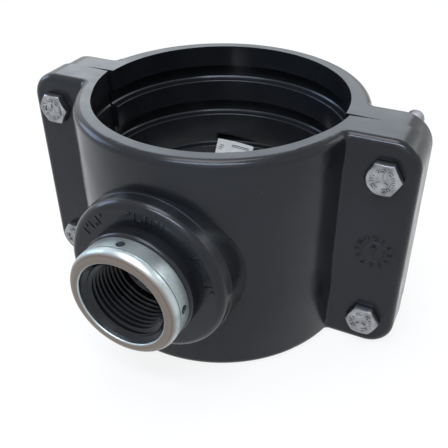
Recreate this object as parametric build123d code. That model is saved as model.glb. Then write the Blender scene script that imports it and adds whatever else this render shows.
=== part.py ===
from build123d import *
import math
import os

# Two-piece bolted tapping saddle for a 110 mm pressure pipe with a G1 female outlet.
# Frame: origin where the outlet axis crosses the pipe axis, +Z along the pipe, the
# outlet points to -Y, the bolted flanges lie along +X and -X. Millimetres.

# ---------------------------------------------------------------- pipe bore and shells
PIPE_R = 55.0             # outside radius of the pipe that the lands grip
BODY_LENGTH = 101.6       # length of the saddle along the pipe
SADDLE_WALL = 7.6         # wall of the half that carries the outlet
STRAP_WALL = 7.0          # wall of the plain half at its crown
STRAP_SIDE_WALL = 9.4     # wall of the plain half where it meets the seam
RIM_ROUND = 3.4           # rounding that runs round the outside of each half
ROOT_ROUND = 2.0          # inside corner between shell and flange

# ---------------------------------------------------------------- grip grooves in the bore
GROOVE_COUNT = 5
GROOVE_PITCH = 18.7
GROOVE_WIDTH = 7.0
GROOVE_DEPTH = 3.0
GROOVE_LEAD = 1.1         # fall of the lower wall from the groove's floor to the land
GROOVE_ROUND = 0.6        # land's edge under that wall
GROOVE_FOOT = 0.5         # chamfer between that wall and the groove's floor

# ---------------------------------------------------------------- bolted flanges
SADDLE_FLANGE_REACH = 34.5  # outlet half's flange, from the pipe's side to its edge
SADDLE_FLANGE_T = 16.2
SADDLE_CORNER_R = 12.0
STRAP_FLANGE_REACH = 33.7   # plain half's flange, from the pipe's side to its edge
STRAP_FLANGE_T = 14.0
STRAP_CORNER_R = 13.0
SADDLE_SEAM_GAP = 1.2     # how far each half stands back from the seam at the bore
STRAP_SEAM_GAP = 0.42
SEAM_GAP_RUN = 15.0       # distance over which that gap closes outwards
BORE_RELIEF = 2.0         # how far the outlet half's bore eases off at the seam
BORE_RELIEF_ANGLE = 25.0  # degrees from the seam to where that easing runs out

# ---------------------------------------------------------------- fasteners, M8
BOLT_REACH = 21.5         # bolt axis from the pipe's side
BOLT_END = 14.8           # bolt axis from the end of the body
BOLT_R = 4.0
BOLT_LENGTH = 55.0
BOLT_TIP_CHAMFER = 0.9
HEX_AF = 13.0             # across flats of head and nut
HEAD_H = 5.3
NUT_H = 6.5
WASHER_R = 8.0
WASHER_T = 1.6
HEX_FACE_RATIO = 0.95     # round end face of a hexagon over its width across flats
HEX_FACE_ANGLE = 30.0     # slope of the chamfer on a hexagon's corners
BOLT_HOLE_CLEARANCE = 0.5
WASHER_CLEARANCE = 0.2
NUT_CLEARANCE = 0.05
POCKET_CLEARANCE = 0.25   # each side of the hexagon in its pocket
POCKET_DEPTH = 1.3

# ---------------------------------------------------------------- outlet boss
BOSS_R = 34.4             # at the face
BOSS_BASE_R = 35.3        # where it leaves the shell
BOSS_RISE = 15.8          # boss face above the pipe's surface
BOSS_ROUND = 3.4
BOSS_STEP = 0.3           # fine step round the side of the boss
BOSS_STEP_BACK = 7.0      # how far behind the face that step lies
COLLAR_R = 24.4
COLLAR_LENGTH = 6.0
COLLAR_ROUND = 1.6
SPIGOT_R = 22.2           # the neck inside the steel ring
SPIGOT_LENGTH = 9.0
THREAD_R = 16.6           # major radius of the G1 thread
THREAD_LENGTH = 22.3      # from the mouth to the shoulder
MOUTH_CHAMFER = 1.8
WATERWAY_R = 13.5
WATERWAY_CHAMFER = 0.8

# ---------------------------------------------------------------- reinforcing ring
RING_WALL = 1.9
RING_TAPER = 0.25         # growth in radius from the skirt's edge to the groove
RING_LIP = 2.0            # thickness over the end of the spigot
RING_MOUTH_R = 18.6
RING_ROUND = 3.2
RING_MOUTH_ROUND = 0.8
RING_EDGE_ROUND = 0.3
RING_GROOVE_BACK = 6.6    # groove from the skirt's edge
RING_GROOVE_WIDTH = 0.6
RING_GROOVE_DEPTH = 0.4
RING_SEAT_CLEARANCE = 0.02
RING_HOLE_COUNT = 4
RING_HOLE_R = 1.75
RING_HOLE_BACK = 4.1      # hole centre from the skirt's edge
RING_HOLE_START = 5.0     # degrees from +X towards +Z

# ---------------------------------------------------------------- outlet gasket
GASKET_IN_R = 16.5
GASKET_OUT_R = 24.5
GASKET_DEPTH = 3.6
GASKET_CLEARANCE = 0.05
PAD_R = 31.0              # smooth patch round the outlet, free of grooves

# ---------------------------------------------------------------- derived places
SADDLE_R = PIPE_R + SADDLE_WALL
STRAP_CROWN = PIPE_R + STRAP_WALL
STRAP_SIDE = PIPE_R + STRAP_SIDE_WALL
# circle through the crown and both sides of the plain half, and how far its centre
# lies beyond the seam
STRAP_R = (STRAP_CROWN + STRAP_SIDE**2 / STRAP_CROWN) / 2
STRAP_CENTRE = STRAP_R - STRAP_CROWN
SADDLE_FLANGE_X = PIPE_R + SADDLE_FLANGE_REACH
STRAP_FLANGE_X = PIPE_R + STRAP_FLANGE_REACH
BOLT_X = PIPE_R + BOLT_REACH
BOLT_Z = BODY_LENGTH / 2 - BOLT_END
BOSS_FACE = PIPE_R + BOSS_RISE
HEAD_SEAT_Y = -SADDLE_FLANGE_T + POCKET_DEPTH
SPIGOT_BACK = BOSS_FACE + COLLAR_LENGTH
SPIGOT_END = SPIGOT_BACK + SPIGOT_LENGTH
THREAD_SHOULDER = SPIGOT_END - THREAD_LENGTH
NUT_SEAT_Y = STRAP_FLANGE_T + WASHER_T
BEYOND = 5.0              # how far cutting tools run past what they cut
REACH = SPIGOT_END + STRAP_R

TOUCH = 0.01              # how near two places count as one

# local +Z of an outlet piece points out of the outlet, along -Y
OUTLET = Rot(X=90)
# local +Z of a fastener points from head to tip, along +Y
BOLTWARD = Rot(X=-90)


def bolt_places():
    """Names and (x, z) of the four bolt axes."""
    places = []
    for side, x in (("left", -BOLT_X), ("right", BOLT_X)):
        for level, z in (("upper", BOLT_Z), ("lower", -BOLT_Z)):
            places.append((f"{side}_{level}", x, z))
    return places


def turned(points, rounds=()):
    """Solid of revolution about +Z from (radius, height) points, with rounded corners."""
    outline = make_face(Polyline(*points, close=True))
    for corner, radius in rounds:
        vertex = outline.vertices().sort_by_distance((*corner, 0))[0]
        outline = fillet(vertex, radius)
    return revolve(Plane.XZ * outline, Axis.Z)


def tube(inner, outer, start, end):
    """Plain tube about +Z between two heights."""
    height = end - start
    ring = Circle(outer) - Circle(inner)
    return Pos(0, 0, start) * extrude(ring, height)


def rod(radius, start, end):
    """Plain cylinder about +Z between two heights."""
    return Pos(0, 0, start) * extrude(Circle(radius), end - start)


def half_blank(side, outer_r, centre, flange_x, flange_t, corner_r):
    """Half shell with both flanges, rounded all round its outside.

    side is -1 or +1 in Y, and centre is how far the outside's centre lies beyond the seam.
    """
    plan = Pos(0, -side * centre) * Circle(outer_r)
    plan += Pos(0, side * flange_t / 2) * Rectangle(2 * flange_x, flange_t)
    plan &= Pos(0, side * outer_r) * Rectangle(2 * flange_x + BEYOND, 2 * outer_r)
    roots = plan.vertices().filter_by(
        lambda v: abs(v.Y - side * flange_t) < TOUCH and abs(v.X) < outer_r
    )
    plan = fillet(roots, ROOT_ROUND)
    block = Pos(0, 0, -BODY_LENGTH / 2) * extrude(plan, BODY_LENGTH)
    elevation = Plane.XZ * RectangleRounded(2 * flange_x, BODY_LENGTH, corner_r)
    block &= extrude(elevation, outer_r + BEYOND, both=True)

    def on_outer_rim(edge):
        middle = edge @ 0.5
        upright = abs((edge % 0.5).Z) > 0.99
        beyond_flange = side * middle.Y > flange_t - TOUCH
        return beyond_flange and not (upright and abs(middle.X) < flange_x - TOUCH)

    return fillet(block.edges().filter_by(on_outer_rim), RIM_ROUND)


def groove_cutter():
    """Cutting tool for one grip groove, whose lower wall slopes between softened corners."""
    low = -GROOVE_WIDTH / 2
    high = GROOVE_WIDTH / 2
    inner = PIPE_R - BEYOND
    floor = PIPE_R + GROOVE_DEPTH
    slope = math.atan2(GROOVE_LEAD, GROOVE_DEPTH)
    reach = GROOVE_ROUND * math.tan((math.pi / 2 - slope) / 2)
    edge = low - GROOVE_LEAD
    on_land = (PIPE_R, edge - reach)
    on_wall = (PIPE_R + reach * math.cos(slope), edge + reach * math.sin(slope))
    corner = TangentArc(on_land, on_wall, tangent=(0, 1))
    rest = Polyline(
        on_wall,
        (floor - GROOVE_FOOT, low - GROOVE_FOOT * math.tan(slope)),
        (floor, low + GROOVE_FOOT),
        (floor, high),
        (inner, high),
        (inner, edge - reach),
        on_land,
    )
    return revolve(Plane.XZ * make_face(corner + rest), Axis.Z)


def grip_grooves():
    """The row of shallow grooves that a half's bore carries, as cutting tools."""
    tools = []
    for i in range(GROOVE_COUNT):
        z = (i - (GROOVE_COUNT - 1) / 2) * GROOVE_PITCH
        tools.append(Pos(0, 0, z) * groove_cutter())
    return tools


def seam_relief(side, gap):
    """Thin wedges that hold the two halves apart next to the bore."""
    tools = []
    for x_sign in (-1, 1):
        inner = x_sign * (PIPE_R - BEYOND)
        start = x_sign * PIPE_R
        end = x_sign * (PIPE_R + SEAM_GAP_RUN)
        outline = Polyline(
            (inner, 0), (inner, side * gap), (start, side * gap), (end, 0), close=True
        )
        wedge = extrude(make_face(outline), BODY_LENGTH / 2 + BEYOND, both=True)
        tools.append(wedge)
    return tools


def bore_relief():
    """Off-centre cylinder that eases the outlet half's bore away from the pipe at the seam."""
    side = PIPE_R + BORE_RELIEF
    run_out = PIPE_R * math.sin(math.radians(BORE_RELIEF_ANGLE))
    centre = (side**2 - PIPE_R**2) / (2 * run_out)
    radius = math.hypot(side, centre)
    return Pos(0, centre, 0) * rod(radius, -BODY_LENGTH, BODY_LENGTH)


def bolt_holes():
    """Clearance holes for the four bolts, as cutting tools."""
    tools = []
    hole = BOLTWARD * rod(BOLT_R + BOLT_HOLE_CLEARANCE, -REACH, REACH)
    for _, x, z in bolt_places():
        tools.append(Pos(x, 0, z) * hole)
    return tools


def head_pockets():
    """Shallow hexagonal pockets that keep the bolt heads from turning."""
    tools = []
    flats = HEX_AF / 2 + POCKET_CLEARANCE
    for _, x, z in bolt_places():
        hexagon = RegularPolygon(flats, 6, major_radius=False)
        tool = BOLTWARD * extrude(hexagon, BEYOND)
        tools.append(Pos(x, HEAD_SEAT_Y - BEYOND, z) * tool)
    return tools


def outlet_boss():
    """The round boss, its collar and the neck that the steel ring grips, still solid."""
    step = BOSS_FACE - BOSS_STEP_BACK
    root = PIPE_R - BEYOND
    slope = (BOSS_BASE_R - BOSS_R) / (BOSS_FACE - PIPE_R)
    side_r = BOSS_R + slope * BOSS_STEP_BACK
    root_r = BOSS_BASE_R + slope * BEYOND
    points = [
        (0, root),
        (root_r, root),
        (side_r + BOSS_STEP, step),
        (side_r, step + BOSS_STEP),
        (BOSS_R, BOSS_FACE),
        (COLLAR_R, BOSS_FACE),
        (COLLAR_R, SPIGOT_BACK),
        (SPIGOT_R, SPIGOT_BACK),
        (SPIGOT_R, SPIGOT_END),
        (0, SPIGOT_END),
    ]
    rounds = [
        ((BOSS_R, BOSS_FACE), BOSS_ROUND),
        ((COLLAR_R, SPIGOT_BACK), COLLAR_ROUND),
    ]
    return OUTLET * turned(points, rounds)


def outlet_bore():
    """Everything cut down the middle of the outlet: mouth, thread wall and waterway."""
    points = [
        (0, PIPE_R - BEYOND),
        (WATERWAY_R, PIPE_R - BEYOND),
        (WATERWAY_R, THREAD_SHOULDER - WATERWAY_CHAMFER),
        (WATERWAY_R + WATERWAY_CHAMFER, THREAD_SHOULDER),
        (THREAD_R, THREAD_SHOULDER),
        (THREAD_R, SPIGOT_END - MOUTH_CHAMFER),
        (THREAD_R + MOUTH_CHAMFER, SPIGOT_END),
        (THREAD_R + MOUTH_CHAMFER, SPIGOT_END + BEYOND),
        (0, SPIGOT_END + BEYOND),
    ]
    return OUTLET * turned(points)


def curved_washer(inner, outer, depth):
    """Ring round the outlet axis that lies in the pipe's surface, depth thick."""
    column = OUTLET * tube(inner, outer, 0, PIPE_R + depth + BEYOND)
    length = BODY_LENGTH / 2
    return column & tube(PIPE_R, PIPE_R + depth, -length, length)


def saddle_half():
    """Moulded half with the outlet, the bolt heads' pockets and the gasket's groove."""
    body = half_blank(-1, SADDLE_R, 0, SADDLE_FLANGE_X, SADDLE_FLANGE_T, SADDLE_CORNER_R)
    body += outlet_boss()
    body -= rod(PIPE_R, -BODY_LENGTH, BODY_LENGTH)
    pad = OUTLET * rod(PAD_R, 0, REACH)
    for groove in grip_grooves():
        body -= groove - pad
    groove_in = GASKET_IN_R - GASKET_CLEARANCE
    groove_out = GASKET_OUT_R + GASKET_CLEARANCE
    body -= curved_washer(groove_in, groove_out, GASKET_DEPTH)
    body -= outlet_bore()
    body -= bore_relief()
    for tool in head_pockets() + bolt_holes() + seam_relief(-1, SADDLE_SEAM_GAP):
        body -= tool
    return body


def strap_half():
    """Plain moulded half that the nuts pull against the pipe."""
    body = half_blank(
        1, STRAP_R, STRAP_CENTRE, STRAP_FLANGE_X, STRAP_FLANGE_T, STRAP_CORNER_R
    )
    body -= rod(PIPE_R, -BODY_LENGTH, BODY_LENGTH)
    for tool in grip_grooves() + bolt_holes() + seam_relief(1, STRAP_SEAM_GAP):
        body -= tool
    return body


def reinforcing_ring():
    """Pressed steel ring round the neck, with a rolled lip and round sight holes."""
    inner = SPIGOT_R + RING_SEAT_CLEARANCE
    skirt = inner + RING_WALL
    full = skirt + RING_TAPER
    groove = SPIGOT_BACK + RING_GROOVE_BACK
    groove_end = groove + RING_GROOVE_WIDTH
    front = SPIGOT_END + RING_LIP
    points = [
        (inner, SPIGOT_BACK),
        (skirt, SPIGOT_BACK),
        (full, groove),
        (full - RING_GROOVE_DEPTH, groove),
        (full - RING_GROOVE_DEPTH, groove_end),
        (full, groove_end),
        (full, front),
        (RING_MOUTH_R, front),
        (RING_MOUTH_R, SPIGOT_END),
        (inner, SPIGOT_END),
    ]
    rounds = [
        ((skirt, SPIGOT_BACK), RING_EDGE_ROUND),
        ((full, front), RING_ROUND),
        ((RING_MOUTH_R, front), RING_MOUTH_ROUND),
    ]
    ring = turned(points, rounds)
    hole = Rot(Y=90) * rod(RING_HOLE_R, SPIGOT_R - BEYOND, full + BEYOND)
    for i in range(RING_HOLE_COUNT):
        turn = RING_HOLE_START + i * 360 / RING_HOLE_COUNT
        ring -= Pos(0, 0, SPIGOT_BACK + RING_HOLE_BACK) * Rot(Z=turn) * hole
    return OUTLET * ring


def outlet_gasket():
    """Rubber ring that seals the outlet on the pipe, curved to the pipe's surface."""
    return curved_washer(GASKET_IN_R, GASKET_OUT_R, GASKET_DEPTH)


def hex_envelope(height, both_ends):
    """Turned shape that a hexagon is cut back to, so its corners are chamfered."""
    corner_r = HEX_AF / 2 / math.cos(math.radians(30)) + 1
    face_r = HEX_AF / 2 * HEX_FACE_RATIO
    drop = (corner_r - face_r) * math.tan(math.radians(HEX_FACE_ANGLE))
    points = [(0, 0), (face_r, 0), (corner_r, drop)]
    if both_ends:
        points += [(corner_r, height - drop), (face_r, height), (0, height)]
    else:
        points += [(corner_r, height), (0, height)]
    return turned(points)


def hex_bolt():
    """Bolt along +Z with the underside of its head at height 0."""
    hexagon = RegularPolygon(HEX_AF / 2, 6, major_radius=False)
    head = extrude(hexagon, HEAD_H) & hex_envelope(HEAD_H, False)
    shank_points = [
        (0, 0),
        (BOLT_R, 0),
        (BOLT_R, BOLT_LENGTH - BOLT_TIP_CHAMFER),
        (BOLT_R - BOLT_TIP_CHAMFER, BOLT_LENGTH),
        (0, BOLT_LENGTH),
    ]
    return Pos(0, 0, -HEAD_H) * head + turned(shank_points)


def hex_nut():
    """Nut along +Z from its seat at height 0."""
    hexagon = RegularPolygon(HEX_AF / 2, 6, major_radius=False)
    body = extrude(hexagon, NUT_H) & hex_envelope(NUT_H, True)
    return body - rod(BOLT_R + NUT_CLEARANCE, -BEYOND, NUT_H + BEYOND)


def plain_washer():
    """Flat washer along +Z from its seat at height 0."""
    return tube(BOLT_R + WASHER_CLEARANCE, WASHER_R, 0, WASHER_T)


def all_parts():
    """Every piece by its node name."""
    parts = {
        "saddle_half": saddle_half(),
        "strap_half": strap_half(),
        "reinforcing_ring": reinforcing_ring(),
        "outlet_gasket": outlet_gasket(),
    }
    for name, x, z in bolt_places():
        parts[f"bolt_{name}"] = Pos(x, HEAD_SEAT_Y, z) * BOLTWARD * hex_bolt()
        parts[f"washer_{name}"] = Pos(x, STRAP_FLANGE_T, z) * BOLTWARD * plain_washer()
        parts[f"nut_{name}"] = Pos(x, NUT_SEAT_Y, z) * BOLTWARD * hex_nut()
    return parts


os.makedirs("parts", exist_ok=True)
for part_name, solid in all_parts().items():
    export_step(solid, f"parts/{part_name}.step")
print("free bolt length beyond the nuts:", HEAD_SEAT_Y + BOLT_LENGTH - NUT_SEAT_Y - NUT_H)
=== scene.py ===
"""Looks of a bolted tapping saddle: moulded PVC-U halves, pressed steel ring, zinc fasteners.

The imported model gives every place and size; this script dresses it, adds threads, moulded
marks and a paper label, and sets a plain studio round it.
"""

import logging
from dataclasses import dataclass, field
from enum import Enum
from math import cos, pi, radians, sin, tan
from typing import Any, Iterable, Sequence

import bmesh
import bpy
from mathutils import Matrix, Vector


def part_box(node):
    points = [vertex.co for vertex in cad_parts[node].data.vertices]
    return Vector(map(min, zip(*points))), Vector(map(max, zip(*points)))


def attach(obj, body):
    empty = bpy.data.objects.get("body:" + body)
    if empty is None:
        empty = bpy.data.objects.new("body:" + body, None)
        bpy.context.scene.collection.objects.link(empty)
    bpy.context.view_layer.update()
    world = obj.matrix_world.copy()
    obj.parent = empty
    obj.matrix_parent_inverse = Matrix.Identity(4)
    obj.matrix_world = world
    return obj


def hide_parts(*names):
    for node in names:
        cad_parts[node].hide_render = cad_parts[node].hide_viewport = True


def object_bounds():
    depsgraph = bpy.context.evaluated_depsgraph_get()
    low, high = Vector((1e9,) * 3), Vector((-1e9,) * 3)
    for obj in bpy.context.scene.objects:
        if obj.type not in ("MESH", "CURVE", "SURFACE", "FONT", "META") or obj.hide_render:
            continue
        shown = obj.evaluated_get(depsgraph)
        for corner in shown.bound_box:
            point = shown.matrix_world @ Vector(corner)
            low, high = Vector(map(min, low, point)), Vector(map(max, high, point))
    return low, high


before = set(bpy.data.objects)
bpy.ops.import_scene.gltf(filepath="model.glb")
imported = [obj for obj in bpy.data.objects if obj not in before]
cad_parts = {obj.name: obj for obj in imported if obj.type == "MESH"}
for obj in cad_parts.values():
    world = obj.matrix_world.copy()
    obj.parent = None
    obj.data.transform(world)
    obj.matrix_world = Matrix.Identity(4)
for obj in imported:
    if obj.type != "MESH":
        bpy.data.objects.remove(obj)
CAD_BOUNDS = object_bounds()
MM = 0.001
WHITE = (1.0, 1.0, 1.0, 1.0)
LOG = logging.getLogger("saddle")

MERGE_DISTANCE = 1e-7

# Numbers of a Mix node's sockets.
MIX_SHARE = 0
NUMBER_A, NUMBER_B = 2, 3
COLOUR_A, COLOUR_B = 6, 7
MIXED_COLOUR = 2

Point = tuple[float, float]
Place = tuple[float, float, float]
Bar = tuple[float, float, float, float]
Mesh = bmesh.types.BMesh
Vertices = Sequence[bmesh.types.BMVert]
Piece = bpy.types.Object
Material = bpy.types.Material
Tree = bpy.types.NodeTree
Node = bpy.types.Node
Socket = bpy.types.NodeSocket
Inputs = dict[Any, Any]
Surface = tuple[Inputs, Sequence[tuple[Socket, float]]]


class Body(Enum):
    """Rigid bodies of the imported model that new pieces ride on."""

    SADDLE = "saddle"
    STRAP = "strap"


class Corner(Enum):
    """The four bolted corners, by the ending of their node names."""

    LEFT_UPPER = "left_upper"
    LEFT_LOWER = "left_lower"
    RIGHT_UPPER = "right_upper"
    RIGHT_LOWER = "right_lower"


# ---- small helpers


def linear(hex_colour: str) -> tuple[float, float, float, float]:
    """Turn an sRGB hex colour into linear RGBA.

    Args:
        hex_colour: Colour such as "#2b2d30".

    Returns:
        Linear red, green, blue and an alpha of 1.
    """
    channels = []
    for start in (1, 3, 5):
        value = int(hex_colour[start : start + 2], 16) / 255
        low = value / 12.92
        high = ((value + 0.055) / 1.055) ** 2.4
        channels.append(low if value <= 0.04045 else high)
    return (*channels, 1.0)


def add_node(
    tree: Tree, kind: str, settings: dict[str, Any] | None = None, inputs: Inputs | None = None
) -> Node:
    """Add a shader node, set its properties, then set or link its inputs.

    Args:
        tree: Node tree that gets the node.
        kind: Node type, such as "ShaderNodeTexNoise".
        settings: Property names and values.
        inputs: Input names or numbers, with a value or a socket to link from.

    Returns:
        The new node.
    """
    node = tree.nodes.new(kind)
    for name, value in (settings or {}).items():
        setattr(node, name, value)
    for name, value in (inputs or {}).items():
        if isinstance(value, Socket):
            tree.links.new(value, node.inputs[name])
        else:
            node.inputs[name].default_value = value
    return node


def patterns(tree: Tree, grains: Iterable[Point], place: Socket | None = None) -> list[Socket]:
    """Add noise patterns that stay fixed to the surface.

    Args:
        tree: Node tree that gets the nodes.
        grains: For each, the size of a blob in metres and the levels of finer noise.
        place: Place in metres to read them at, where it isn't the object's own.

    Returns:
        The patterns' values, about 0 to 1.
    """
    if place is None:
        place = add_node(tree, "ShaderNodeTexCoord").outputs["Object"]
    made = []
    for grain, detail in grains:
        inputs = {"Vector": place, "Scale": 1 / grain, "Detail": detail}
        made.append(add_node(tree, "ShaderNodeTexNoise", inputs=inputs).outputs["Fac"])
    return made


def spread(tree: Tree, pattern: Socket, span: Point, ends: Sequence[Any] = (0, 1)) -> Socket:
    """Turn a span of a pattern into a change from one number or colour to another.

    Args:
        tree: Node tree that gets the nodes.
        pattern: Value to read; beyond the span it stays at the nearer end.
        span: Its values at the two ends.
        ends: What those become: numbers, or sRGB hex colours.

    Returns:
        The number or the colour.
    """
    coloured = isinstance(ends[0], str)
    names = ("Value", "From Min", "From Max", "To Min", "To Max")
    inputs: Inputs = dict(zip(names, (pattern, *span, *((0, 1) if coloured else ends))))
    share = add_node(tree, "ShaderNodeMapRange", {"clamp": True}, inputs).outputs["Result"]
    if not coloured:
        return share
    inputs = {MIX_SHARE: share, COLOUR_A: linear(ends[0]), COLOUR_B: linear(ends[1])}
    return add_node(tree, "ShaderNodeMix", {"data_type": "RGBA"}, inputs).outputs[MIXED_COLOUR]


def seen_directly(tree: Tree) -> Socket:
    """Tell whether a ray comes from the camera, a mirror-like surface or glass.

    Args:
        tree: Node tree that gets the nodes.

    Returns:
        1 for such a ray, else 0.
    """
    path = add_node(tree, "ShaderNodeLightPath")
    result = path.outputs["Is Camera Ray"]
    for name in ("Is Glossy Ray", "Is Transmission Ray"):
        result = add_node(
            tree, "ShaderNodeMath", {"operation": "MAXIMUM"}, {0: result, 1: path.outputs[name]}
        ).outputs[0]
    return result


# ---- finishes


class Finish:
    """A material that the fields of a frozen dataclass describe."""

    name: str

    def surface(self, tree: Tree) -> Surface:
        """Build the patterns of the surface.

        Args:
            tree: Node tree of the material.

        Returns:
            The shader's inputs, and the height patterns with the height in metres of each.
        """
        raise NotImplementedError

    def cover(self, tree: Tree, shader: Node) -> Node:
        """Leave the shader as it is; a finish may lay another over it."""
        return shader

    def build(self) -> Material:
        """Make the material.

        Returns:
            The material.
        """
        material = bpy.data.materials.new(self.name)
        material.use_nodes = True
        tree = material.node_tree
        tree.nodes.clear()
        inputs, layers = self.surface(tree)
        for height, distance in layers:
            bump: Inputs = {"Height": height, "Distance": distance, "Strength": 1.0}
            if "Normal" in inputs:
                bump["Normal"] = inputs["Normal"]
            inputs["Normal"] = add_node(tree, "ShaderNodeBump", inputs=bump).outputs["Normal"]
        shader = add_node(tree, "ShaderNodeBsdfPrincipled", inputs=inputs)
        top = self.cover(tree, shader).outputs[0]
        add_node(tree, "ShaderNodeOutputMaterial", inputs={"Surface": top})
        return material


@dataclass(frozen=True)
class MouldedPvc(Finish):
    """Injection-moulded PVC-U from a polished tool.

    Dense dark grey, its reflections given a painted cool tint that stands in for bluish
    light. The skin is semi-gloss, slightly wavy where thick sections sank, with a fine
    orange peel, and carries pale handling scuffs and dust.
    """

    name: str = "pvc_u_injection_moulded"
    deep: str = "#17181a"
    pale: str = "#1e2023"
    scuff: str = "#8e9194"
    # Painted cool tint of the reflections, standing in for bluish light.
    cast: str = "#f3f7ff"
    roughness: Point = (0.16, 0.27)
    ior: float = 1.5
    specular: float = 0.3
    # Each pattern: the size of a blob with its levels of finer noise, then the span used.
    cloud: Point = (45 * MM, 3)
    cloud_span: Point = (0.35, 0.65)
    speck: Point = (1.6 * MM, 1)
    speck_span: Point = (0.79, 0.82)
    speck_cover: float = 0.6
    dust: Point = (26 * MM, 2)
    dust_span: Point = (0.5, 0.62)
    smear: Point = (13 * MM, 5)
    smear_span: Point = (0.3, 0.7)
    sink: Point = (26 * MM, 1)
    sink_depth: float = 0.5 * MM
    # The orange peel is drawn coarser than real, or it would not show.
    peel: Point = (1.1 * MM, 1)
    peel_depth: float = 0.006 * MM

    def surface(self, tree: Tree) -> Surface:
        """Build clouds of tone, patches of dust, smeared gloss, sink marks and orange peel.

        Args:
            tree: Node tree of the material.

        Returns:
            The shader's inputs and the height patterns.
        """
        grains = (self.cloud, self.speck, self.dust, self.smear, self.sink, self.peel)
        clouds, specks, patches, smears, sinks, peel = patterns(tree, grains)
        base = spread(tree, clouds, self.cloud_span, (self.deep, self.pale))
        share: Inputs = {
            0: spread(tree, specks, self.speck_span, (0, self.speck_cover)),
            1: spread(tree, patches, self.dust_span),
        }
        dust = add_node(tree, "ShaderNodeMath", {"operation": "MULTIPLY"}, share).outputs[0]
        tones: Inputs = {MIX_SHARE: dust, COLOUR_A: base, COLOUR_B: linear(self.scuff)}
        colour = add_node(tree, "ShaderNodeMix", {"data_type": "RGBA"}, tones)
        inputs: Inputs = {
            "Base Color": colour.outputs[MIXED_COLOUR],
            "Roughness": spread(tree, smears, self.smear_span, self.roughness),
            "IOR": self.ior,
            "Specular IOR Level": self.specular,
            # Specular tint: painted cool tint of the reflections, standing in for bluish light.
            "Specular Tint": linear(self.cast),
        }
        return inputs, ((sinks, self.sink_depth), (peel, self.peel_depth))


@dataclass(frozen=True)
class PressedStainless(Finish):
    """Deep-drawn stainless steel ring.

    The skirt keeps the satin skin of the rolled strip, pale with a green-blue cast. The
    front of the lip is finished on a lathe with fine rings; its browner, darker colour is
    painted dark reflection.
    """

    name: str = "stainless_steel_deep_drawn"
    front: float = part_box("reinforcing_ring")[0].y
    skirt: str = "#bfcacc"
    stained: str = "#98a4a8"
    # Painted dark reflection on the lip's front, darker along the lathe lines.
    brushed: str = "#857d76"
    worn: str = "#6c655f"
    satin: Point = (0.30, 0.44)
    brushed_roughness: float = 0.36
    # Depth behind the front and radii of the painted dark reflection, and the widths over which
    # it fades.
    brushed_back: Point = (0.5 * MM, 2.2 * MM)
    band: Point = (19.3 * MM, 22.9 * MM)
    band_fades: Point = (0.5 * MM, 1.2 * MM)
    stain: Point = (8 * MM, 4)
    stain_span: Point = (0.35, 0.7)
    satin_span: Point = (0.3, 0.7)
    # The lathe's lines are drawn wider than real, or they would not show.
    line: Point = (0.35 * MM, 2)
    line_span: Point = (0.3, 0.7)
    line_depth: float = 0.006 * MM

    def surface(self, tree: Tree) -> Surface:
        """Build the stained satin skin, and the lathe rings on the lip over its painted dark
        reflection.

        Args:
            tree: Node tree of the material.

        Returns:
            The shader's inputs and the height patterns.
        """
        place = add_node(tree, "ShaderNodeTexCoord").outputs["Object"]
        parts = add_node(tree, "ShaderNodeSeparateXYZ", inputs={0: place}).outputs
        across: Inputs = {"X": parts["X"], "Y": parts["Z"]}
        flat = add_node(tree, "ShaderNodeCombineXYZ", inputs=across).outputs[0]
        length = add_node(tree, "ShaderNodeVectorMath", {"operation": "LENGTH"}, {0: flat})
        radius = length.outputs["Value"]
        turned: Inputs = {"X": radius, "Y": parts["Y"]}
        rings = add_node(tree, "ShaderNodeCombineXYZ", inputs=turned).outputs[0]
        lines = patterns(tree, (self.line,), rings)[0]
        stains = patterns(tree, (self.stain,), place)[0]
        near, far = (self.front + back for back in self.brushed_back)
        inner, outer = self.band
        # Share of the painted dark reflection: the lip's front, fading with depth and at both
        # radii.
        face = spread(tree, parts["Y"], (near, far), (1, 0))
        for share in (
            spread(tree, radius, (inner - self.band_fades[0], inner)),
            spread(tree, radius, (outer, outer + self.band_fades[1]), (1, 0)),
        ):
            both: Inputs = {0: face, 1: share}
            face = add_node(tree, "ShaderNodeMath", {"operation": "MULTIPLY"}, both).outputs[0]
        skirt = spread(tree, stains, self.stain_span, (self.skirt, self.stained))
        # Painted dark reflection on the lip's front, darker along the lathe lines.
        lip = spread(tree, lines, self.line_span, (self.brushed, self.worn))
        satin = spread(tree, stains, self.satin_span, self.satin)
        tones: Inputs = {MIX_SHARE: face, COLOUR_A: skirt, COLOUR_B: lip}
        gloss: Inputs = {MIX_SHARE: face, NUMBER_A: satin, NUMBER_B: self.brushed_roughness}
        colour = add_node(tree, "ShaderNodeMix", {"data_type": "RGBA"}, tones)
        rough = add_node(tree, "ShaderNodeMix", {"data_type": "FLOAT"}, gloss)
        inputs: Inputs = {
            "Base Color": colour.outputs[MIXED_COLOUR],
            "Metallic": 1.0,
            "Roughness": rough.outputs[0],
        }
        return inputs, ((lines, self.line_depth),)


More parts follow.
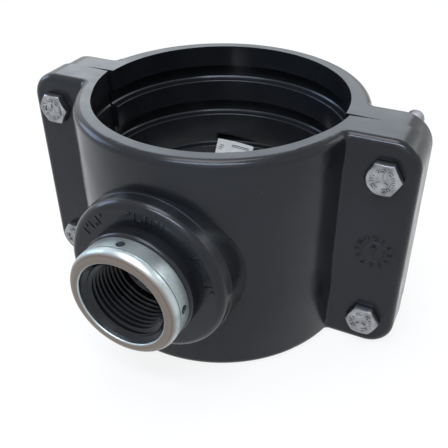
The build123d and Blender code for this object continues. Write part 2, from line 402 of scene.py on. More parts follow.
@dataclass(frozen=True)
class ZincPlate(Finish):
    """Bright zinc electroplate on cold-formed steel: pale, satin, faintly mottled."""

    name: str = "steel_bright_zinc_plated"
    bright: str = "#a5a7aa"
    dull: str = "#6f7074"
    roughness: Point = (0.26, 0.40)
    mottle: Point = (5 * MM, 3)
    tone_span: Point = (0.35, 0.7)
    gloss_span: Point = (0.3, 0.7)
    # Pits and scratches are drawn coarser than real, or they would not show.
    pit: Point = (0.6 * MM, 2)
    scratch: Point = (0.5 * MM, 3)
    scratch_squeeze: Place = (0.18, 1.0, 1.0)
    relief: float = 0.02 * MM

    def surface(self, tree: Tree) -> Surface:
        """Build the mottled plate with its pits and drawn-out scratches.

        Args:
            tree: Node tree of the material.

        Returns:
            The shader's inputs and the height patterns.
        """
        place = add_node(tree, "ShaderNodeTexCoord").outputs["Object"]
        squeeze: Inputs = {0: place, 1: self.scratch_squeeze}
        drawn = add_node(tree, "ShaderNodeVectorMath", {"operation": "MULTIPLY"}, squeeze)
        mottles, pits = patterns(tree, (self.mottle, self.pit), place)
        scratches = patterns(tree, (self.scratch,), drawn.outputs["Vector"])[0]
        inputs: Inputs = {
            "Base Color": spread(tree, mottles, self.tone_span, (self.bright, self.dull)),
            "Metallic": 1.0,
            "Roughness": spread(tree, mottles, self.gloss_span, self.roughness),
        }
        return inputs, ((pits, self.relief), (scratches, self.relief))


@dataclass(frozen=True)
class TwoTone(Finish):
    """A matt surface that drifts from one tone to another."""

    name: str
    main: str
    second: str
    grain: Point
    roughness: float
    span: Point = (0.4, 0.7)

    def surface(self, tree: Tree) -> Surface:
        """Build the drift of tone.

        Args:
            tree: Node tree of the material.

        Returns:
            The shader's inputs and no height pattern.
        """
        drift = patterns(tree, (self.grain,))[0]
        colour = spread(tree, drift, self.span, (self.main, self.second))
        return {"Base Color": colour, "Roughness": self.roughness}, ()


@dataclass(frozen=True)
class MouldedRubber(TwoTone):
    """Compression-moulded nitrile rubber: black and matt, with a dusty bloom."""

    name: str = "nitrile_rubber_moulded"
    main: str = "#101010"
    second: str = "#1d1d1e"
    grain: Point = (2 * MM, 3)
    roughness: float = 0.62


@dataclass(frozen=True)
class LabelPaper(TwoTone):
    """Coated label paper: near white, matt, with a faint cloudy formation."""

    name: str = "coated_label_paper"
    main: str = "#fbfaf7"
    second: str = "#f1f0ec"
    grain: Point = (1.5 * MM, 4)
    roughness: float = 0.55


@dataclass(frozen=True)
class PrintedInk(TwoTone):
    """Thermal print on the label: dark grey, a little uneven."""

    name: str = "thermal_print"
    main: str = "#4a4a4a"
    second: str = "#6e6e6c"
    grain: Point = (0.8 * MM, 2)
    roughness: float = 0.6


@dataclass(frozen=True)
class StudioFloor(Finish):
    """Matt white painted floor: reads as a plain white ground that keeps a soft shadow."""

    name: str = "studio_floor_painted"
    colour: str = "#f2f2f2"
    roughness: float = 0.7
    ground: float = 0.85

    def surface(self, tree: Tree) -> Surface:
        """Build the plain paint, which has no pattern."""
        return {"Base Color": linear(self.colour), "Roughness": self.roughness}, ()

    def cover(self, tree: Tree, shader: Node) -> Node:
        """Show the floor mostly as plain white where it is seen.

        Args:
            tree: Node tree of the material.
            shader: The paint.

        Returns:
            The paint with the white over it.
        """
        white = add_node(tree, "ShaderNodeEmission", inputs={"Color": WHITE, "Strength": 1.0})
        part: Inputs = {0: seen_directly(tree), 1: self.ground}
        share = add_node(tree, "ShaderNodeMath", {"operation": "MULTIPLY"}, part).outputs[0]
        layers: Inputs = {0: share, 1: shader.outputs[0], 2: white.outputs[0]}
        return add_node(tree, "ShaderNodeMixShader", inputs=layers)


@dataclass
class Finishes:
    """Every material of the part, made once and shared."""

    pvc: Material = field(default_factory=MouldedPvc().build)
    stainless: Material = field(default_factory=PressedStainless().build)
    zinc: Material = field(default_factory=ZincPlate().build)
    rubber: Material = field(default_factory=MouldedRubber().build)
    paper: Material = field(default_factory=LabelPaper().build)
    ink: Material = field(default_factory=PrintedInk().build)


# ---- mesh helpers


def dress_node(node: str, material: Material) -> None:
    """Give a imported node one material.

    Args:
        node: Name of the node.
        material: Its new finish.
    """
    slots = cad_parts[node].data.materials
    slots.clear()
    slots.append(material)


def smooth(data: bpy.types.Mesh, sharp_degrees: float) -> None:
    """Shade a mesh smooth, apart from edges that turn more than an angle."""
    data.polygons.foreach_set("use_smooth", [True] * len(data.polygons))
    data.set_sharp_from_angle(angle=radians(sharp_degrees))


def apply_modifiers(piece: Piece) -> None:
    """Replace a piece's mesh by the one that its modifiers give.

    Args:
        piece: The piece; its mesh keeps its name.
    """
    graph = bpy.context.evaluated_depsgraph_get()
    made = bpy.data.meshes.new_from_object(piece.evaluated_get(graph))
    piece.modifiers.clear()
    old, name = piece.data, piece.data.name
    piece.data = made
    bpy.data.meshes.remove(old)
    made.name = name


def add_object(name: str, data: bpy.types.ID) -> Piece:
    """Make an object and link it to the scene.

    Args:
        name: Name of the new object.
        data: Its mesh, curve, light or camera.

    Returns:
        The new object.
    """
    made = bpy.data.objects.new(name, data)
    bpy.context.scene.collection.objects.link(made)
    return made


def make_piece(
    name: str, mesh: Mesh, material: Material, bevel: float = 0.0, sharp_degrees: float = 30.0
) -> Piece:
    """Turn a bmesh into a finished object with smooth faces and crisp edges.

    Args:
        name: Name of the new object.
        mesh: Geometry; it is freed.
        material: Finish of the piece.
        bevel: Width in metres of the rounding on sharp edges, or 0.
        sharp_degrees: Edges that turn more than this stay sharp, or are rounded.

    Returns:
        The new object, linked to the scene.
    """
    bmesh.ops.recalc_face_normals(mesh, faces=mesh.faces)
    data = bpy.data.meshes.new(name)
    mesh.to_mesh(data)
    mesh.free()
    data.materials.append(material)
    piece = add_object(name, data)
    if bevel > 0:
        rounding = piece.modifiers.new("rounding", "BEVEL")
        rounding.width = bevel
        rounding.segments = 2
        rounding.limit_method = "ANGLE"
        rounding.angle_limit = radians(sharp_degrees)
        apply_modifiers(piece)
    smooth(piece.data, sharp_degrees)
    return piece


def box_at(mesh: Mesh, centre: Vector, size: Vector, turn: Matrix | None = None) -> None:
    """Add a small box to a bmesh.

    Args:
        mesh: Geometry that gets the box.
        centre: Its middle.
        size: Its three sides.
        turn: Rotation about its middle.
    """
    rotation = turn.to_4x4() if turn else Matrix.Identity(4)
    place = Matrix.Translation(centre) @ rotation @ Matrix.Diagonal((*size, 1))
    bmesh.ops.create_cube(mesh, size=1.0, matrix=place)


def circle_at(mesh: Mesh, radius: float, height: float, steps: int) -> Vertices:
    """Add a circle of vertices about the local Z axis.

    Args:
        mesh: Geometry that gets the vertices.
        radius: Radius of the circle.
        height: Height of the circle.
        steps: Number of vertices.

    Returns:
        The vertices in order round the axis.
    """
    turns = [2 * pi * i / steps for i in range(steps)]
    return [mesh.verts.new((radius * cos(t), radius * sin(t), height)) for t in turns]


def band(mesh: Mesh, lower: Vertices, upper: Vertices) -> None:
    """Join two equal closed rings of vertices with quads.

    Args:
        mesh: Geometry that gets the faces.
        lower: One ring, in order.
        upper: The other ring, in the same order.
    """
    count = len(lower)
    for i in range(count):
        after = (i + 1) % count
        mesh.faces.new((lower[i], lower[after], upper[after], upper[i]))


def closed_tube(mesh: Mesh, rings: Sequence[Vertices]) -> None:
    """Join rings of vertices in order, and the last to the first."""
    for lower, upper in zip(rings, [*rings[1:], rings[0]]):
        band(mesh, lower, upper)


@dataclass(frozen=True)
class Hexagon:
    """Outline of a bolt head or nut with chamfered corners, about a local Z axis."""

    across_flats: float = 13 * MM
    face_ratio: float = 0.95
    slope: float = radians(30)
    steps: int = 72

    def reach(self, turn: float) -> float:
        """Distance from the axis to the outline at an angle; corners lie at 0, 60, 120."""
        sector = radians(60)
        return self.across_flats / 2 / cos(turn % sector - sector / 2)

    def ring(self, mesh: Mesh, height: float, chamfer: float) -> Vertices:
        """Add the outline at a height, pulled back along the corner chamfer.

        Args:
            mesh: Geometry that gets the vertices.
            height: Height of the chamfered end face.
            chamfer: 1 where the end faces up, -1 where it faces down, 0 for no chamfer.

        Returns:
            The vertices in order round the axis.
        """
        verts = []
        for i in range(self.steps):
            turn = 2 * pi * i / self.steps
            reach = self.reach(turn)
            drop = (reach - self.face_radius) * tan(self.slope) * chamfer
            spot = (reach * cos(turn), reach * sin(turn), height - drop)
            verts.append(mesh.verts.new(spot))
        return verts

    @property
    def face_radius(self) -> float:
        """Radius of the round end face inside the chamfer."""
        return self.across_flats / 2 * self.face_ratio


@dataclass(frozen=True)
class ThreadForm:
    """One pitch of a thread as (share of the pitch, share of the depth) points."""

    major: float
    minor: float
    pitch: float
    outline: tuple[Point, ...]

    def radius(self, share: float) -> float:
        """Radius at a share of the thread's depth, 0 at the root and 1 at the crest."""
        return self.minor + (self.major - self.minor) * share


METRIC_M8 = ThreadForm(
    major=4.0 * MM,
    minor=3.32 * MM,
    pitch=1.25 * MM,
    outline=((0.0, 0.0), (0.22, 0.0), (0.55, 1.0), (0.68, 1.0)),
)
PIPE_G1 = ThreadForm(
    major=16.62 * MM,
    minor=15.15 * MM,
    pitch=2.309 * MM,
    outline=((0.06, 1.0), (0.36, 0.22), (0.44, 0.04), (0.56, 0.04), (0.64, 0.22), (0.94, 1.0)),
)


# ---- sub-assemblies


@dataclass
class MouldedHalves:
    """The two PVC-U halves and the gasket between saddle and pipe."""

    finishes: Finishes
    halves: tuple[str, ...] = ("saddle_half", "strap_half")

    def dress(self) -> None:
        """Give the halves and the gasket their finishes."""
        for node in self.halves:
            dress_node(node, self.finishes.pvc)
        dress_node("outlet_gasket", self.finishes.rubber)


@dataclass
class OutletRing:
    """The pressed steel ring round the outlet's neck: skirt, fine groove, rolled lip, holes."""

    finishes: Finishes
    outer: float = 23.75 * MM
    taper: float = 0.25 * MM
    seat: float = 22.24 * MM
    mouth: float = 18.6 * MM
    lip: float = 2.0 * MM
    crown: float = 3.2 * MM
    mouth_round: float = 0.8 * MM
    edge_round: float = 0.3 * MM
    groove: Point = (6.6 * MM, 7.2 * MM)
    groove_depth: float = 0.35 * MM
    groove_slope: float = 0.1 * MM
    hole: float = 1.75 * MM
    hole_back: float = 4.1 * MM
    hole_degrees: tuple[float, ...] = (4.0, 93.0, 184.0, 273.0)
    hole_steps: int = 40
    drill_length: float = 4 * MM
    steps: int = 192
    crown_steps: int = 12
    mouth_steps: int = 6
    sharp_degrees: float = 30.0

    def profile(self, depth: float) -> list[Point]:
        """List the closed section as (radius, distance in front of the skirt's edge).

        Args:
            depth: Length of the ring from the skirt's edge to the front of the lip.

        Returns:
            The points in order.
        """
        outer, edge = self.outer, self.edge_round
        low = outer - self.taper
        bottom = outer - self.groove_depth
        points = [(self.seat, 0.0), (low - edge, 0.0), (low, edge)]
        points += [(outer, self.groove[0]), (bottom, self.groove[0] + self.groove_slope)]
        points += [(bottom, self.groove[1] - self.groove_slope), (outer, self.groove[1])]
        for i in range(self.crown_steps + 1):
            turn = radians(90 * i / self.crown_steps)
            radius = outer - self.crown * (1 - cos(turn))
            points.append((radius, depth - self.crown * (1 - sin(turn))))
        for i in range(self.mouth_steps + 1):
            turn = radians(90 * i / self.mouth_steps)
            radius = self.mouth + self.mouth_round * (1 - sin(turn))
            points.append((radius, depth - self.mouth_round * (1 - cos(turn))))
        points += [(self.mouth, depth - self.lip), (self.seat, depth - self.lip)]
        return points

    def drill(self, ring: Piece, middle: float) -> None:
        """Cut the sight holes through the skirt.

        Args:
            ring: The ring, in place.
            middle: Place of the holes' axes along the outlet.
        """
        drills = bmesh.new()
        for degrees in self.hole_degrees:
            angle = radians(degrees)
            out = Vector((cos(angle), 0, sin(angle)))
            turn = out.to_track_quat("Z", "Y").to_matrix().to_4x4()
            centre = out * self.outer
            centre.y = middle
            bmesh.ops.create_cone(
                drills,
                cap_ends=True,
                segments=self.hole_steps,
                radius1=self.hole,
                radius2=self.hole,
                depth=self.drill_length,
                matrix=Matrix.Translation(centre) @ turn,
            )
        tool = make_piece("ring_drills", drills, self.finishes.stainless)
        cut = ring.modifiers.new("holes", "BOOLEAN")
        cut.operation = "DIFFERENCE"
        cut.solver = "EXACT"
        cut.object = tool
        apply_modifiers(ring)
        shape = tool.data
        bpy.data.objects.remove(tool)
        bpy.data.meshes.remove(shape)
        smooth(ring.data, self.sharp_degrees)

    def build(self) -> None:
        """Turn the section round the outlet's axis and drill it."""
        low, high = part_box("reinforcing_ring")
        mesh = bmesh.new()
        rows = []
        for radius, front in self.profile(high.y - low.y):
            row = []
            for i in range(self.steps):
                angle = 2 * pi * i / self.steps
                spot = (radius * cos(angle), high.y - front, radius * sin(angle))
                row.append(mesh.verts.new(spot))
            rows.append(row)
        closed_tube(mesh, rows)
        ring = make_piece("outlet_ring", mesh, self.finishes.stainless)
        self.drill(ring, high.y - self.hole_back)
        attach(ring, Body.SADDLE.value)
        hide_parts("reinforcing_ring")


@dataclass
class OutletThread:
    """Female pipe thread standing inward from the outlet's wall."""

    finishes: Finishes
    form: ThreadForm = PIPE_G1
    steps: int = 96
    length: float = 21.0 * MM
    lead_in: float = 3.0 * MM
    end_width: float = 0.05
    sharp_degrees: float = 50.0

    def build(self) -> None:
        """Sweep the thread's ridge along its helix."""
        ring_low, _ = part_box("reinforcing_ring")
        start = ring_low.y + self.lead_in
        total = int(self.length / self.form.pitch * self.steps)
        mesh = bmesh.new()
        sections = []
        for i in range(total + 1):
            angle = 2 * pi * i / self.steps
            # The ridge rises and falls over half a turn at each end.
            fade = min(1.0, i / self.steps * 2, (total - i) / self.steps * 2)
            section = []
            for along, share in self.form.outline:
                radius = self.form.radius(1 - (1 - share) * fade)
                offset = i / self.steps + (along - 0.5) * max(fade, self.end_width)
                y = start + self.form.pitch * offset
                spot = (radius * cos(angle), y, -radius * sin(angle))
                section.append(mesh.verts.new(spot))
            sections.append(section)
        for lower, upper in zip(sections, sections[1:]):
            band(mesh, lower, upper)
        mesh.faces.new(sections[0])
        mesh.faces.new(sections[-1][::-1])
        piece = make_piece("outlet_thread", mesh, self.finishes.pvc, 0, self.sharp_degrees)
        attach(piece, Body.SADDLE.value)


@dataclass
class Fasteners:
    """Hexagon bolts, washers and nuts at the four corners, with real threads."""

    finishes: Finishes
    hexagon: Hexagon = Hexagon()
    thread: ThreadForm = METRIC_M8
    thread_length: float = 40 * MM
    tip_chamfer: float = 0.9 * MM
    thread_steps: int = 40
    edge_round: float = 0.12 * MM
    edge_degrees: float = 25.0
    head_height: float = 5.3 * MM
    # Raised strokes on the head: middle, size outward and size across in millimetres,
    # and the degrees round the head where they lie.
    strokes: tuple[tuple[float, float, float, tuple[int, ...]], ...] = (
        (4.2, 1.5, 0.55, (0, 12, 48, 60, 84, 120, 132, 168)),
        (4.2, 1.5, 0.55, (180, 204, 240, 252, 276, 300, 336, 348)),
        (3.8, 0.55, 1.3, (24, 72, 144, 192, 264, 312)),
        (4.8, 0.55, 1.3, (24, 72, 144, 192, 264, 312)),
        (1.7, 1.7, 0.385, (30, 150, 270)),
    )
    stroke_middle: float = -0.175 * MM
    stroke_height: float = 0.65 * MM
    bore: float = 4.05 * MM
    mouth_chamfer: float = 0.5 * MM
    washer_bore: float = 4.2 * MM

    def place(self, piece: Piece, node: str) -> None:
        """Turn a piece from local +Z to +Y and move it to the axis and base of a node.

        Args:
            piece: Piece built about the local Z axis.
            node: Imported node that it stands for.
        """
        low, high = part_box(node)
        centre = (low + high) / 2
        turn = Matrix.Rotation(radians(-90), 4, "X")
        shift = Matrix.Translation((centre.x, low.y, centre.z))
        piece.data.transform(shift @ turn)

    def head(self, mesh: Mesh, height: float) -> None:
        """Add a bolt head whose chamfered face lies at local height 0.

        Args:
            mesh: Geometry that gets the head.
            height: Height of its underside.
        """
        centre = mesh.verts.new((0, 0, 0))
        face = circle_at(mesh, self.hexagon.face_radius, 0, self.hexagon.steps)
        rim = self.hexagon.ring(mesh, 0, -1)
        seat = self.hexagon.ring(mesh, height, 0)
        count = self.hexagon.steps
        for i in range(count):
            mesh.faces.new((centre, face[(i + 1) % count], face[i]))
        band(mesh, rim, face)
        band(mesh, seat, rim)
        mesh.faces.new(seat)

    def head_marks(self, mesh: Mesh) -> None:
        """Add plain raised strokes in a broken circle on the head's face.

        Args:
            mesh: Geometry of the head.
        """
        for middle, out, wide, places in self.strokes:
            size = Vector((out * MM, wide * MM, self.stroke_height))
            for degrees in places:
                turn = Matrix.Rotation(radians(degrees), 3, "Z")
                centre = turn @ Vector((middle * MM, 0, self.stroke_middle))
                box_at(mesh, centre, size, turn)

    def threaded_shank(self, mesh: Mesh, start: float, end: float) -> None:
        """Add a plain shank that turns into a thread before its chamfered tip.

        Args:
            mesh: Geometry that gets the shank.
            start: Height of the head's underside.
            end: Height of the tip.
        """
        form = self.thread
        steps = self.thread_steps
        first = end - self.thread_length
        rows = []
        # A turn more at each end, held back to the thread's own length, makes whole ends.
        turns = int(self.thread_length / form.pitch) + 2
        for turn in range(-1, turns):
            for along, share in form.outline:
                row = []
                for i in range(steps):
                    angle = 2 * pi * i / steps
                    z = first + form.pitch * (turn + along + i / steps)
                    z = min(max(z, first), end)
                    tip_limit = form.major - max(0.0, z - (end - self.tip_chamfer))
                    radius = min(form.radius(share), tip_limit)
                    spot = (radius * cos(angle), radius * sin(angle), z)
                    row.append(mesh.verts.new(spot))
                rows.append(row)
        per_turn = len(form.outline)
        for j in range(len(rows) - per_turn - 1):
            for i in range(steps):
                last = i + 1 == steps
                right = rows[j + per_turn][0] if last else rows[j][i + 1]
                right_up = rows[j + 1 + per_turn][0] if last else rows[j + 1][i + 1]
                mesh.faces.new((rows[j][i], right, right_up, rows[j + 1][i]))
        neck = [circle_at(mesh, form.major, height, steps) for height in (start, first)]
        band(mesh, *neck)
        mesh.faces.new(neck[1])
        mesh.faces.new(circle_at(mesh, form.major - self.tip_chamfer, end, steps))

    def bolt(self, corner: Corner) -> None:
        """Build a bolt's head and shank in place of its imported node.

        Args:
            corner: Corner that it holds.
        """
        node = f"bolt_{corner.value}"
        low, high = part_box(node)
        zinc = self.finishes.zinc
        mesh = bmesh.new()
        self.head(mesh, self.head_height)
        self.head_marks(mesh)
        name = f"hex_bolt_{corner.value}"
        head = make_piece(name, mesh, zinc, self.edge_round, self.edge_degrees)
        shank = bmesh.new()
        self.threaded_shank(shank, self.head_height, high.y - low.y)
        bmesh.ops.remove_doubles(shank, verts=shank.verts, dist=MERGE_DISTANCE)
        bmesh.ops.dissolve_degenerate(shank, edges=shank.edges, dist=MERGE_DISTANCE)
        rod = make_piece(f"bolt_shank_{corner.value}", shank, zinc)
        for piece in (head, rod):
            self.place(piece, node)
            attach(piece, Body.SADDLE.value)
        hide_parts(node)

    def nut(self, corner: Corner) -> None:
        """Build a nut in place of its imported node.

        Args:
            corner: Corner that it holds.
        """
        node = f"nut_{corner.value}"
        low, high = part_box(node)
        top = high.y - low.y
        hexagon = self.hexagon
        steps, face = hexagon.steps, hexagon.face_radius
        inner, mouth = self.mouth_chamfer, self.bore + self.mouth_chamfer
        under = ((self.bore, inner), (mouth, 0), (face, 0))
        over = ((face, top), (mouth, top), (self.bore, top - inner))
        mesh = bmesh.new()
        rings = [circle_at(mesh, *point, steps) for point in under]
        rings += [hexagon.ring(mesh, 0, -1), hexagon.ring(mesh, top, 1)]
        rings += [circle_at(mesh, *point, steps) for point in over]
        closed_tube(mesh, rings)
        name = f"hex_nut_{corner.value}"
        piece = make_piece(name, mesh, self.finishes.zinc, self.edge_round, self.edge_degrees)
        self.place(piece, node)
        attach(piece, node)
        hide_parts(node)

    def washer(self, corner: Corner) -> None:
        """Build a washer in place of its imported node.

        Args:
            corner: Corner that it lies at.
        """
        node = f"washer_{corner.value}"
        low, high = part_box(node)
        top = high.y - low.y
        outer = (high.x - low.x) / 2
        section = ((self.washer_bore, 0), (outer, 0), (outer, top), (self.washer_bore, top))
        mesh = bmesh.new()
        closed_tube(mesh, [circle_at(mesh, *point, self.hexagon.steps) for point in section])
        name = f"plain_washer_{corner.value}"
        piece = make_piece(name, mesh, self.finishes.zinc, self.edge_round * 2)
        self.place(piece, node)
        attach(piece, Body.STRAP.value)
        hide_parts(node)

    def build(self) -> None:
        """Build the three pieces of every corner."""
        for corner in Corner:
            self.bolt(corner)
            self.washer(corner)
            self.nut(corner)


@dataclass
class DateDial:
    """Moulded month dial on the right flange: a fine circle, plain numbers and an arrow."""

    finishes: Finishes
    number_circle: float = 6.7 * MM
    hub: float = 4.6 * MM
    head_proud: float = 4.0 * MM
    relief: float = 0.45 * MM
    rim_relief: float = 0.12 * MM
    rim_sunk: float = 0.05 * MM
    rim_steps: int = 72
    soften: float = 0.18 * MM
    edge_degrees: float = 40.0
    digit: float = 3.0 * MM
    line: float = 0.5 * MM
    shaft: Point = (0.8 * MM, 6.9 * MM)
    barb: Point = (0.7 * MM, 2.4 * MM)
    barb_spot: Point = (0.45 * MM, 2.392 * MM)
    barb_degrees: float = 35.0

    def rim(self, mesh: Mesh, radius: float) -> None:
        """Add one thin raised circle with a rounded top, in local XY.

        Args:
            mesh: Geometry that gets the circle.
            radius: Radius of its middle.
        """
        half, sunk, top = self.line / 2, -self.rim_sunk, self.rim_relief
        section = ((-half, sunk), (-half / 2, top), (half / 2, top), (half, sunk))
        rings = [circle_at(mesh, radius + out, level, self.rim_steps) for out, level in section]
        for inner, outer in zip(rings, rings[1:]):
            band(mesh, inner, outer)

    def numbers(self) -> list[Piece]:
        """Make the twelve raised numbers as meshes in local XY.

        Returns:
            The number objects.
        """
        made = []
        for month in range(1, 13):
            angle = radians(90 - 30 * month)
            curve = bpy.data.curves.new(f"dial_number_{month}", "FONT")
            curve.body = str(month)
            curve.size = self.digit
            curve.align_x = "CENTER"
            curve.align_y = "CENTER"
            curve.extrude = self.relief / 2 - self.soften
            curve.bevel_depth = self.soften
            curve.bevel_resolution = 1
            curve.offset = -self.soften / 2
            curve.resolution_u = 3
            text = add_object(curve.name, curve)
            graph = bpy.context.evaluated_depsgraph_get()
            data = bpy.data.meshes.new_from_object(text.evaluated_get(graph))
            bpy.data.objects.remove(text)
            spot = Vector((cos(angle), sin(angle), 0)) * self.number_circle
            spot.z = self.relief / 2
            turn = Matrix.Rotation(angle - pi / 2, 4, "Z")
            data.transform(Matrix.Translation(spot) @ turn)
            made.append(add_object(curve.name, data))
        return made

    def build(self) -> None:
        """Build the dial flat on the flange's face."""
        bolt_low, bolt_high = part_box("bolt_right_upper")
        face = bolt_low.y + self.head_proud
        mesh = bmesh.new()
        self.rim(mesh, self.hub)
        box_at(mesh, Vector((0, 0, self.relief / 2)), Vector((*self.shaft, self.relief)))
        aside, ahead = self.barb_spot
        for side in (-1, 1):
            turn = Matrix.Rotation(radians(side * self.barb_degrees), 3, "Z")
            centre = Vector((side * aside, ahead, self.relief / 2))
            box_at(mesh, centre, Vector((*self.barb, self.relief)), turn)
        dial = make_piece("date_dial", mesh, self.finishes.pvc, self.soften, self.edge_degrees)
        upright = Matrix.Rotation(radians(90), 4, "X")
        shift = Matrix.Translation(((bolt_low.x + bolt_high.x) / 2, face, 0))
        for piece in (dial, *self.numbers()):
            if not piece.data.materials:
                piece.data.materials.append(self.finishes.pvc)
            piece.data.transform(shift @ upright)
            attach(piece, Body.SADDLE.value)


@dataclass
class BossRelief:
    """Plain raised bars round the top of the boss's face, where a maker would mould words."""

    finishes: Finishes
    face_back: float = 17.0 * MM
    radius: float = 29.2 * MM
    relief: float = 0.42 * MM
    height: float = 3.9 * MM
    stroke: float = 0.8 * MM
    step_degrees: float = 4.6
    short_height: float = 0.36
    short_shift: float = 0.32
    short_width: float = 2.2
    edge_round: float = 0.26 * MM
    edge_degrees: float = 40.0

    def marks(self) -> list[Bar]:
        """List the bars, some the full height and some short, near the bottom or the top.

        Returns:
            For each, degrees round the boss, radius, height and width.
        """
        tall = (self.radius, self.height, self.stroke)
        short = (self.height * self.short_height, self.stroke * self.short_width)
        low = (self.radius - self.height * self.short_shift, *short)
        high = (self.radius + self.height * self.short_shift, *short)
        groups = (
            (147, (tall, high, tall, low, tall, high)),
            (97, (high, tall, low, tall, tall, high, tall)),
            (38, (tall, high)),
            (16, (low, tall, high)),
        )
        bars = []
        for start, shapes in groups:
            for i, shape in enumerate(shapes):
                bars.append((start - self.step_degrees * i, *shape))
        return bars

    def build(self) -> None:
        """Build all bars as one piece."""
        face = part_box("reinforcing_ring")[0].y + self.face_back
        mesh = bmesh.new()
        for degrees, radius, tall, wide in self.marks():
            angle = radians(degrees)
            centre = Vector((radius * cos(angle), face, radius * sin(angle)))
            turn = Matrix.Rotation(-angle, 3, "Y")
            box_at(mesh, centre, Vector((tall, self.relief * 2, wide)), turn)
        pvc = self.finishes.pvc
        piece = make_piece("boss_relief", mesh, pvc, self.edge_round, self.edge_degrees)
        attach(piece, Body.SADDLE.value)


@dataclass
class StickyLabel:
    """Small paper label stuck a little askew across the strap's bore."""

    finishes: Finishes
    wall: float = 55.0 * MM
    middle_degrees: float = 109.5
    middle_z: float = -9.5 * MM
    width: float = 20.0 * MM
    height: float = 15.0 * MM
    tilt: float = radians(12)
    thickness: float = 0.12 * MM
    lift: float = 0.12 * MM
    paper_steps: int = 24
    print_steps: int = 8
    print_proud: float = 0.03 * MM
    # Printed bars, in millimetres: to the right, below the top edge, width, height.
    bars: tuple[Bar, ...] = (
        (3.0, 2.4, 9.5, 0.55),
        (3.0, 3.3, 9.5, 0.4),
        (-7.0, 3.6, 2.2, 0.45),
        (-7.4, 4.8, 2.6, 0.45),
        (-7.6, 6.0, 2.0, 0.45),
    )

    def bend(self, across: float, up: float, out: float) -> Vector:
        """Place a point of the flat label on the bore's wall.

        Args:
            across: Distance to the right of the label's middle.
            up: Distance above its middle.
            out: Distance that it stands off the wall.

        Returns:
            The point in the shared frame.
        """
        x = across * cos(self.tilt) + up * sin(self.tilt)
        z = -across * sin(self.tilt) + up * cos(self.tilt)
        angle = radians(self.middle_degrees) - x / self.wall
        radius = self.wall - self.lift - out
        return Vector((radius * cos(angle), radius * sin(angle), self.middle_z + z))

    def patch(self, mesh: Mesh, middle: Point, size: Point, out: float, steps: int) -> None:
        """Add a thin curved rectangle.

        Args:
            mesh: Geometry that gets it.
            middle: Its middle on the flat label.
            size: Its width and height.
            out: Distance of its back from the label's own back.
            steps: Divisions across.
        """
        rows = []
        for level in (0.0, self.thickness):
            for edge in (-0.5, 0.5):
                row = []
                for i in range(steps + 1):
                    across = middle[0] + size[0] * (i / steps - 0.5)
                    up = middle[1] + size[1] * edge
                    row.append(mesh.verts.new(self.bend(across, up, out + level)))
                rows.append(row)
        back_low, back_high, front_low, front_high = rows
        edges = (back_low, front_low, front_high, back_high)
        for i in range(steps):
            for one, other in zip(edges, edges[1:] + edges[:1]):
                mesh.faces.new((one[i], one[i + 1], other[i + 1], other[i]))
        for i in (0, steps):
            mesh.faces.new([edge[i] for edge in edges])

    def build(self) -> None:
        """Build the paper and its plain printed lines."""
        paper = bmesh.new()
        self.patch(paper, (0, 0), (self.width, self.height), 0, self.paper_steps)
        lines = bmesh.new()
        for across, below, wide, tall in self.bars:
            middle = (across * MM, self.height / 2 - below * MM)
            size = (wide * MM, tall * MM)
            self.patch(lines, middle, size, self.print_proud, self.print_steps)
        for name, mesh, material in (
            ("paper_label", paper, self.finishes.paper),
            ("label_print", lines, self.finishes.ink),
        ):
            piece = make_piece(name, mesh, material)
            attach(piece, Body.STRAP.value)


# ---- studio


@dataclass(frozen=True)
class SoftLight:
    """One rectangular soft light aimed at the part."""

    name: str
    place: Place
    size: Point
    power: float
    colour: str

    def build(self) -> None:
        """Add the light to the scene."""
        data = bpy.data.lights.new(self.name, "AREA")
        data.shape = "RECTANGLE"
        data.size, data.size_y = self.size
        data.energy = self.power
        data.color = linear(self.colour)[:3]
        lamp = add_object(self.name, data)
        lamp.location = self.place
        lamp.rotation_euler = (-lamp.location).to_track_quat("-Z", "Y").to_euler()


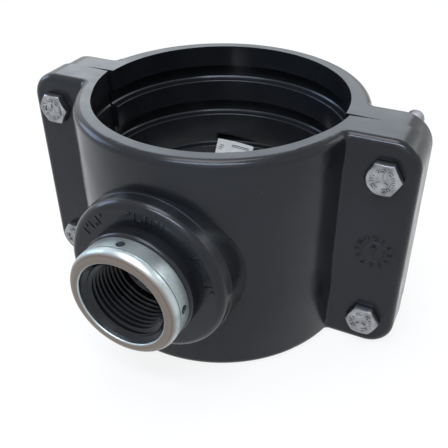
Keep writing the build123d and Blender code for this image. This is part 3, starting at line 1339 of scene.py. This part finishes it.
@dataclass
class Studio:
    """Pale floor, bright surroundings, soft lights and the camera."""

    floor_size: float = 6.0
    camera_place: Place = (0.11264, -0.22898, 0.15969)
    azimuth: float = 25.96
    elevation: float = 35.04
    roll: float = -0.74
    lens: float = 51.14
    sensor_width: float = 36.0
    shift: Point = (-0.0021, 0.0023)
    clip_start: float = 0.01
    horizon: str = "#6e6e70"
    zenith: str = "#eef3fa"
    zenith_height: float = 0.8
    sky_strength: float = 0.2
    lights: tuple[SoftLight, ...] = (
        SoftLight("overhead", (-0.1, 0.0, 1.0), (0.5, 0.5), 5.0, "#fff9f7"),
        SoftLight("back_window", (-0.35, 1.1, 0.75), (1.3, 0.6), 4.9, "#e6f6ff"),
        SoftLight("back_left", (-1.0, 0.8, 0.6), (0.8, 0.6), 1.1, "#f0f9ff"),
        SoftLight("back_right", (0.9, 0.9, 0.6), (0.8, 0.6), 3.2, "#f6fcff"),
        SoftLight("left_window", (-1.1, -0.1, 0.45), (0.6, 0.5), 5.0, "#bfd9ff"),
        SoftLight("front_high", (0.12, -0.6, 1.1), (0.9, 0.18), 12.0, "#e2edff"),
        SoftLight("front_fill", (0.5, -1.1, 0.95), (0.9, 0.9), 1.8, "#ffffff"),
        SoftLight("right_wall", (1.1, -0.2, 0.5), (0.7, 0.6), 0.3, "#ffdcb0"),
    )

    def floor(self) -> None:
        """Lay the floor under the part's lowest point."""
        low, _ = CAD_BOUNDS
        mesh = bmesh.new()
        bmesh.ops.create_grid(mesh, x_segments=1, y_segments=1, size=self.floor_size / 2)
        floor = make_piece("studio_floor", mesh, StudioFloor().build())
        floor.location.z = low[2]

    def world(self) -> None:
        """Surround the part with a dim sky that shows as plain white where it is seen."""
        world = bpy.data.worlds.new("studio_sky")
        bpy.context.scene.world = world
        world.use_nodes = True
        tree = world.node_tree
        tree.nodes.clear()
        way = add_node(tree, "ShaderNodeTexCoord").outputs["Generated"]
        height = add_node(tree, "ShaderNodeSeparateXYZ", inputs={0: way}).outputs["Z"]
        sky = spread(tree, height, (0.0, self.zenith_height), (self.horizon, self.zenith))
        layers: Inputs = {0: seen_directly(tree)}
        for socket, (colour, strength) in enumerate(((sky, self.sky_strength), (WHITE, 1.0)), 1):
            light = {"Color": colour, "Strength": strength}
            layers[socket] = add_node(tree, "ShaderNodeBackground", inputs=light).outputs[0]
        both = add_node(tree, "ShaderNodeMixShader", inputs=layers)
        add_node(tree, "ShaderNodeOutputWorld", inputs={"Surface": both.outputs[0]})

    def camera(self) -> None:
        """Set the camera at the view's own angle and lens."""
        azimuth, elevation, roll = map(radians, (self.azimuth, self.elevation, self.roll))
        level_reach = cos(elevation)
        sideways, forwards = sin(azimuth), -cos(azimuth)
        back = Vector((sideways * level_reach, forwards * level_reach, sin(elevation)))
        level = Vector((0, 0, 1)).cross(back).normalized()
        upward = back.cross(level)
        right = level * cos(roll) + upward * sin(roll)
        up = upward * cos(roll) - level * sin(roll)
        data = bpy.data.cameras.new("camera")
        data.lens = self.lens
        data.sensor_width = self.sensor_width
        data.shift_x, data.shift_y = self.shift
        data.clip_start = self.clip_start
        camera = add_object("camera", data)
        turn = Matrix((right, up, back)).transposed().to_4x4()
        camera.matrix_world = Matrix.Translation(self.camera_place) @ turn
        bpy.context.scene.camera = camera

    def build(self) -> None:
        """Build the whole studio."""
        self.floor()
        self.world()
        self.camera()
        for light in self.lights:
            light.build()
        bpy.context.scene.view_settings.view_transform = "Standard"


def write_sizes() -> None:
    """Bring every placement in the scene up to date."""
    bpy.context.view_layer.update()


def main() -> None:
    """Build every sub-assembly in order, then the studio."""
    logging.basicConfig(level=logging.INFO, format="%(name)s: %(message)s")
    finishes = Finishes()
    MouldedHalves(finishes).dress()
    LOG.info("dressed the moulded halves")
    for kind in (OutletRing, OutletThread, Fasteners, DateDial, BossRelief, StickyLabel):
        kind(finishes).build()
        LOG.info("built %s", kind.__name__)
    Studio().build()
    LOG.info("built the studio")
    write_sizes()


if __name__ == "__main__":
    main()
